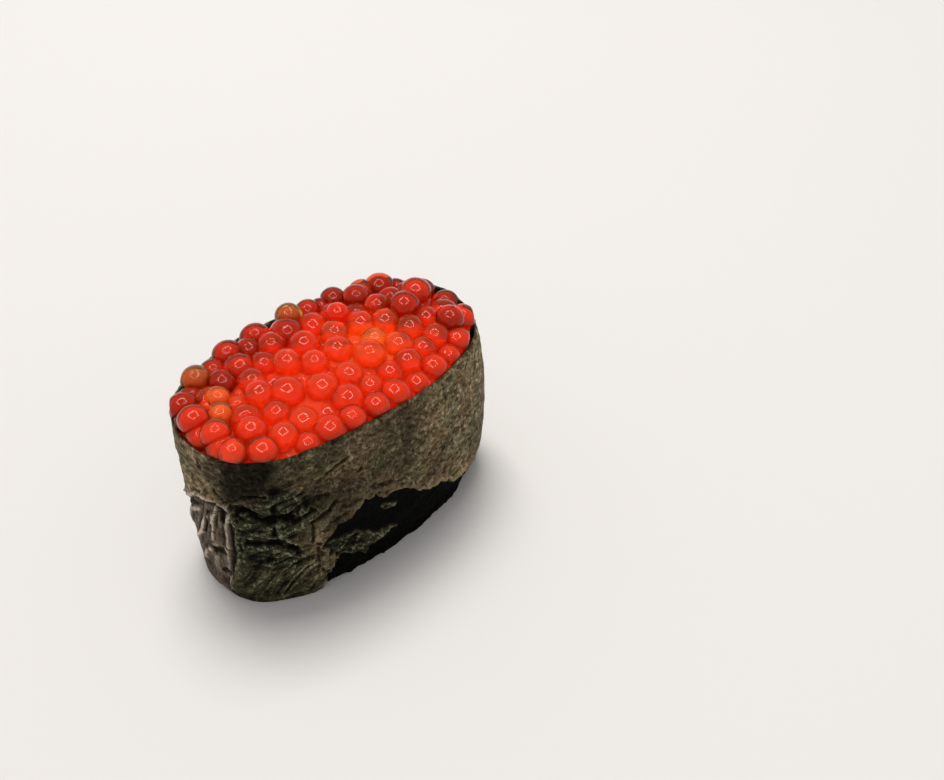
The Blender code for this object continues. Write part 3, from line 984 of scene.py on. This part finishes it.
def build_hearts():
    ways, faces = unit_ball(3)
    at_wall = wall_distance(egg_centre[:, 0], egg_centre[:, 1])[0] < NEAR_WALL * egg_radius
    # Darkened eggs get a heart too, and its dark red is painted shade.
    which = (egg_tone < DARK_TONE) | at_wall | (np.arange(EGG_COUNT) < STANDING_COUNT)
    size = HEART * egg_radius * (1 - 0.08 * smooth_step(0.8, 1.0, egg_tone))
    shape = (ways * HEART_SQUASH - HEART_DROP)[None]
    parts = egg_centre[which, None] + shape * size[which, None, None]
    return joined("roe_hearts", list(parts), faces, egg_tone[which])


hearts = build_hearts()
print("heart mesh:", len(hearts.data.polygons), "triangles")

# %% [markdown]
# ## Egg and heart finish
# A salmon egg is a clear skin round a clear orange-red jelly. Light goes in, is coloured, and
# comes out redder the more eggs it has crossed. So most of the shader refracts, tinted by the base
# colour, and the rest scatters, which keeps the heap bright. The wet skin is a coat. The heart is
# plain and dull. Both go from dark red through red and orange to amber with the tone, and the dark
# red of the darkened eggs is painted shade.


# %% Egg material
def make_egg_finish():
    finish = Finish(bpy.data.materials.new("roe_egg"))
    tone = finish.attribute("tone")
    dark, red = (0.92, 0.11, 0.02, 1), (0.97, 0.20, 0.04, 1)
    orange, amber = (1.0, 0.28, 0.06, 1), (1.0, 0.56, 0.13, 1)
    # The dark red is painted shade on the darkened eggs.
    colour = finish.blend(finish.ramp(tone, -0.4, 0.1), dark, red)
    colour = finish.blend(finish.ramp(tone, 0.1, 0.6), colour, orange)
    colour = finish.blend(finish.ramp(tone, 0.6, 1.0), colour, amber)
    return finish.surface({
        "Base Color": colour,
        "Roughness": 0.04,
        "IOR": 1.15,
        "Transmission Weight": 0.9,
        "Coat Weight": 0.5,
        "Coat IOR": 1.4,
        "Coat Roughness": 0.03,
    })


# %% Heart material
def make_heart_finish():
    finish = Finish(bpy.data.materials.new("roe_heart"))
    tone = finish.attribute("tone")
    dark, deep = (0.30, 0.030, 0.005, 1), (0.76, 0.066, 0.009, 1)
    red, orange, amber = (0.82, 0.062, 0.010, 1), (0.82, 0.15, 0.012, 1), (0.42, 0.040, 0.004, 1)
    # The dark red is painted shade on the darkened eggs.
    colour = finish.blend(finish.ramp(tone, -0.5, -0.02), dark, deep)
    colour = finish.blend(finish.ramp(tone, 0.05, 0.3), colour, red)
    colour = finish.blend(finish.ramp(tone, 0.6, 0.8), colour, orange)
    colour = finish.blend(finish.ramp(tone, 0.85, 1.0), colour, amber)
    return finish.surface({"Base Color": colour, "Roughness": 0.6, "Specular IOR Level": 0.1})


eggs.data.materials.append(make_egg_finish())
hearts.data.materials.append(make_heart_finish())

# %% [markdown]
# ## The heap's core
# Below the top layers there is only red depth, so a closed core fills the space there. It shows
# between the eggs, so its top is bumpy like the eggs that it stands for, and it turns orange
# under the amber ones. In front it lies nearer to the top, where the eggs sink together.


# %% A closed solid
def ring_solid(rings, foot, top):
    """Points and faces of a closed solid from equal rings, with a point in each end's middle."""
    count = len(rings[0])
    points = np.concatenate(rings + [np.array([foot, top])])
    faces = ring_faces(len(rings), count)
    last = (len(rings) - 1) * count
    for here in range(count):
        there = (here + 1) % count
        faces.append((there, here, len(points) - 2))
        faces.append((last + here, last + there, len(points) - 1))
    return points, faces


# %% Build the core
CORE_FOOT = 20.6
CORE_SIDES = ((CORE_FOOT, 3.0), (21.4, 2.1), (28.6, 2.1), (30.2, 1.0))
CORE_RIM_INSET = CORE_SIDES[-1][1]
CORE_RINGS = 44
CORE_DROP = 2.55
CORE_BACK_DROP = 0.85
CORE_BUMP = 0.3


def core_top(x, y, share):
    """Height of the core, nearer the top of the heap in front and at the back wall."""
    drop = CORE_DROP + CORE_BACK_DROP * smooth_step(-9.0, 6.0, y)
    back = 0.8 * smooth_step(0.0, 12.0, y) * smooth_step(0.6, 0.9, share)
    bumps = CORE_BUMP * np.sin(1.25 * x) * np.sin(1.25 * y + 0.4 * np.sin(x))
    return heap_top(x, y) - drop + back + bumps


def build_core():
    turn = even_turns(240)
    rings = [ring(turn, inset, height) for height, inset in CORE_SIDES]
    half_length, half_width = LENGTH / 2 - CORE_RIM_INSET, WIDTH / 2 - CORE_RIM_INSET
    for share in np.linspace(1.0, 0.03, CORE_RINGS):
        x, y = oval(turn, half_length * share, half_width * share)
        rings.append(np.stack([x, y, core_top(x, y, share)], axis=1))
    points, faces = ring_solid(rings, (0, 0, CORE_FOOT), (0, 0, core_top(0, 0, 0)))
    tone = {"tone": amber_places(points[:, 0], points[:, 1])}
    return make_piece("roe_core", points, faces, tone)


core = build_core()
print("core mesh:", len(core.data.polygons), "faces")


# %% Core material
def make_core_finish():
    finish = Finish(bpy.data.materials.new("roe_core"))
    place = finish.node("ShaderNodeTexCoord", output=3)
    cloud = finish.noise(place, 300.0, 2.0)
    colour = finish.blend(cloud, (0.70, 0.040, 0.010, 1), (0.76, 0.055, 0.014, 1))
    colour = finish.blend(finish.attribute("tone") * 0.8, colour, (0.90, 0.19, 0.024, 1))
    return finish.surface({"Base Color": colour, "Roughness": 0.6, "Specular IOR Level": 0.1})


core.data.materials.append(make_core_finish())

# %% [markdown]
# ## The rice
# The rice shows only from below. Cooked short grains are pressed flat against the plate there,
# over a plain core. Each grain is a ball drawn out to an oval. One row lies along the band, as
# the hand that pressed the block left it, and the others lie at random angles inside that row.

# %% Build the rice
RICE_TOP = 20.0
EDGE_GRAINS = 25
EDGE_INSET = 4.0
LOOSE_INSET = 6.2
GRAIN_STEP_X, GRAIN_STEP_Y = 2.7, 3.1
GRAIN_WIDTH, GRAIN_HEIGHT = 1.35, 1.2
CORE_UNDERSIDE = 1.3


def grain_places(random):
    """The middle and the angle of each grain: a row along the band, then the loose ones."""
    places = []
    for turn in even_turns(EDGE_GRAINS):
        x, y = oval(turn, LENGTH / 2 - EDGE_INSET, WIDTH / 2 - EDGE_INSET)
        wall_x, wall_y = wall_distance(x, y)[1:]
        places.append((x, y, np.arctan2(wall_x, -wall_y) + random.uniform(-0.12, 0.12)))
    for column in np.arange(-27, 28, GRAIN_STEP_X):
        for row in np.arange(-15, 16, GRAIN_STEP_Y):
            x, y = column + random.uniform(-0.7, 0.7), row + random.uniform(-0.7, 0.7)
            if oval_share(x, y, LENGTH / 2 - LOOSE_INSET, WIDTH / 2 - LOOSE_INSET) < 1:
                places.append((x, y, random.uniform(0, np.pi)))
    return places


def build_rice():
    random = np.random.default_rng(21)
    ways, faces = unit_ball(3)
    parts = []
    for x, y, angle in grain_places(random):
        grain = ways * np.array([random.uniform(2.7, 3.3), GRAIN_WIDTH, GRAIN_HEIGHT])
        grain[:, 2] += random.uniform(-0.3, 0.3) * grain[:, 0]
        cos, sin = np.cos(angle), np.sin(angle)
        spun = grain[:, :1] * np.array([cos, sin]) + grain[:, 1:2] * np.array([-sin, cos])
        grain = np.column_stack([spun, grain[:, 2]]) + (x, y, random.uniform(1.0, 1.9))
        grain[:, 2] = np.maximum(grain[:, 2], 0)
        parts.append(grain)
    return joined("rice_grains", parts, faces, random.uniform(0, 1, len(parts)))


def build_rice_core():
    turn = even_turns(160)
    sides = ((CORE_UNDERSIDE, 3.2), (1.6, 2.6), (RICE_TOP - 0.5, 2.6), (RICE_TOP, 3.0))
    rings = [ring(turn, inset, height) for height, inset in sides]
    points, faces = ring_solid(rings, (0, 0, CORE_UNDERSIDE), (0, 0, RICE_TOP))
    return make_piece("rice_core", points, faces, {})


rice = build_rice()
rice_core = build_rice_core()
print("rice:", len(rice.data.polygons), "triangles")


# %% Rice material
def make_rice_finish():
    finish = Finish(bpy.data.materials.new("rice"))
    tone = finish.attribute("tone")
    place = finish.node("ShaderNodeTexCoord", output=3)
    starch = finish.noise(place, 700.0, 3.0)
    colour = finish.blend(tone * 0.5 + starch * 0.5, (0.62, 0.58, 0.47, 1), (0.82, 0.80, 0.72, 1))
    bump = finish.node(
        "ShaderNodeBump", None, {"Strength": 0.2, "Distance": 0.0001, "Height": starch},
    )
    return finish.surface({
        "Base Color": colour, "Roughness": 0.38, "Normal": bump,
        "Subsurface Weight": 0.3, "Subsurface Scale": 0.002,
    })


rice_finish = make_rice_finish()
rice.data.materials.append(rice_finish)
rice_core.data.materials.append(rice_finish)

# %% [markdown]
# ## Bodies, nodes and slots
# The sushi has no joints, so every piece rides on the one body, and the plain solid that each
# piece stands for is hidden.

# %% Attach each piece and hide its plain solid
for piece, node, slot in (
    (nori, "nori_wrap", "nori"),
    (eggs, "roe_heap", "roe"),
    (hearts, "roe_heap", "roe"),
    (core, "roe_heap", "roe"),
    (rice, "rice_bed", "rice"),
    (rice_core, "rice_bed", "rice"),
):
    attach(piece, "root")
    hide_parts(node)

# %% [markdown]
# ## Floor and light
# A pale floor and a soft light from above show the form. The small ring on each egg is the
# mirror image of a square ring lamp: four strips that only reflections can see. The sky is
# bright at the horizon and greyer above, which gives the dark band a little shape.


# %% Floor
def make_floor():
    finish = Finish(bpy.data.materials.new("floor"))
    place = finish.node("ShaderNodeTexCoord", output=3)
    mottle = finish.noise(place, 3.0, 2.0)
    colour = finish.blend(mottle, (0.745, 0.722, 0.70, 1), (0.765, 0.742, 0.72, 1))
    bpy.ops.mesh.primitive_plane_add(size=12)
    floor = bpy.context.object
    floor.name = "floor"
    floor.data.materials.append(finish.surface({"Base Color": colour, "Roughness": 0.7}))
    return floor


make_floor()


# %% Lights
def area_light(name, place, turn, size, watts, colour=(1, 1, 1)):
    lamp = bpy.data.lights.new(name, "AREA")
    lamp.shape = "RECTANGLE"
    lamp.size, lamp.size_y = size
    lamp.energy = watts
    lamp.color = colour
    holder = bpy.data.objects.new(name, lamp)
    holder.location = place
    holder.rotation_euler = turn
    bpy.context.scene.collection.objects.link(holder)
    return holder


KEY_PLACE = Vector((0.20, 0.35, 1.25))
KEY_SIZE = 0.6
KEY_WATTS = 14.0
RING_PLACE = (-0.03, -0.05, 0.42)
RING_HALF = 0.17
RING_STRIP = 0.045
RING_WATTS = 0.5

key_turn = (-KEY_PLACE).to_track_quat("-Z", "Y").to_euler()
key = area_light("key", KEY_PLACE, key_turn, (KEY_SIZE, KEY_SIZE), KEY_WATTS, (1.0, 0.98, 0.95))
key.visible_glossy = False
for side in range(4):
    angle = side * np.pi / 2
    place = Vector(RING_PLACE) + RING_HALF * Vector((np.cos(angle), np.sin(angle), 0))
    size = (RING_STRIP, 2 * RING_HALF - RING_STRIP)
    lamp = area_light(f"ring_{side}", place, (0, 0, angle), size, RING_WATTS)
    lamp.visible_diffuse = False
    lamp.visible_transmission = False


def make_world():
    world = bpy.data.worlds.new("studio")
    bpy.context.scene.world = world
    sky = Finish(world)
    place = sky.node("ShaderNodeTexCoord", output=0)
    height = sky.node("ShaderNodeSeparateXYZ", None, {"Vector": place}, output=2)
    colour = sky.blend(sky.ramp(height, -0.05, 0.85), (0.8, 0.79, 0.77, 1), (0.36, 0.36, 0.37, 1))
    light = sky.node("ShaderNodeBackground", None, {"Color": colour, "Strength": 1.0})
    sky.node("ShaderNodeOutputWorld", None, {"Surface": light})


make_world()

# %% [markdown]
# ## Camera
# The camera looks down on the near end and the long side with the torn flap.

# %% Camera
CAMERA_PLACE = (-87.1, -122.1, 149.2)
CAMERA_LENS = 41.95
CAMERA_TILT = np.radians(50.5)
CAMERA_TURN = np.radians(-44.8)

camera = bpy.data.objects.new("camera", bpy.data.cameras.new("camera"))
bpy.context.scene.collection.objects.link(camera)
camera.data.lens = CAMERA_LENS
camera.data.sensor_width = 36
camera.location = (Vector(CAMERA_PLACE) + Vector(SHIFT)) * MM
camera.rotation_euler = (CAMERA_TILT, 0, CAMERA_TURN)
bpy.context.scene.camera = camera
bpy.context.scene.view_settings.view_transform = "Standard"
